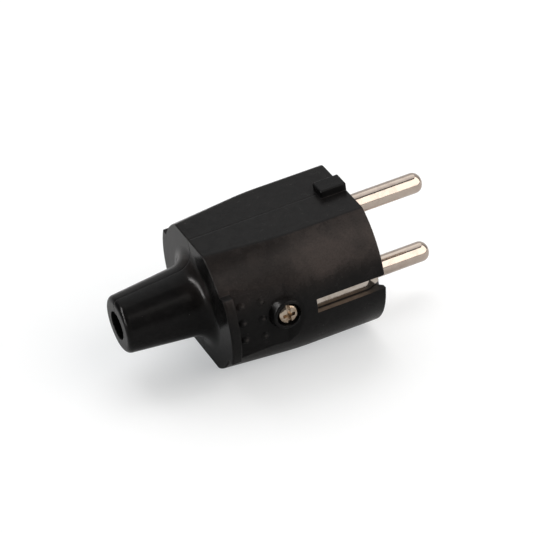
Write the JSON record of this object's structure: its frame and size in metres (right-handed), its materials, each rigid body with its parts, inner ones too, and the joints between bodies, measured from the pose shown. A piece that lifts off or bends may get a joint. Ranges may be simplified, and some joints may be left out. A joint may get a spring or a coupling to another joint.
{
  "type": "rubber electric plug",
  "caption": "Rewireable rubber mains plug with round pins, side earth strips, finger grips, a fixing screw and a tapered cord boot.",
  "frame": {"origin": "centre of the face that meets the socket, midway between the pins", "axes": "+X along the plug towards the pin tips, +Z along the line of the pins, as the plug lies on its side"},
  "size_m": [0.0768, 0.038, 0.0348],
  "materials": {
    "rubber_shell": "moulded, satin",
    "contact_carrier": "moulded, matt",
    "pin": "nickel plated, polished",
    "earth_strap": "nickel plated, rolled",
    "fixing_screw": "zinc plated",
    "terminal_screw": "zinc plated",
    "earth_screw": "zinc plated",
    "earth_washer": "nickel plated",
    "cord_saddle": "moulded, matt",
    "saddle_screw": "zinc plated",
    "fixing_bush": "turned, bare"
  },
  "bodies": {
    "root": {"rubber_shell": "rubber_shell", "contact_carrier": "contact_carrier", "upper_pin": "pin", "lower_pin": "pin", "upper_terminal_screw": "terminal_screw", "lower_terminal_screw": "terminal_screw", "earth_strap": "earth_strap", "earth_screw": "earth_screw", "earth_washer": "earth_washer", "cord_saddle": "cord_saddle", "upper_saddle_screw": "saddle_screw", "lower_saddle_screw": "saddle_screw", "fixing_screw": "fixing_screw", "fixing_bush": "fixing_bush"}
  },
  "joints": []
}
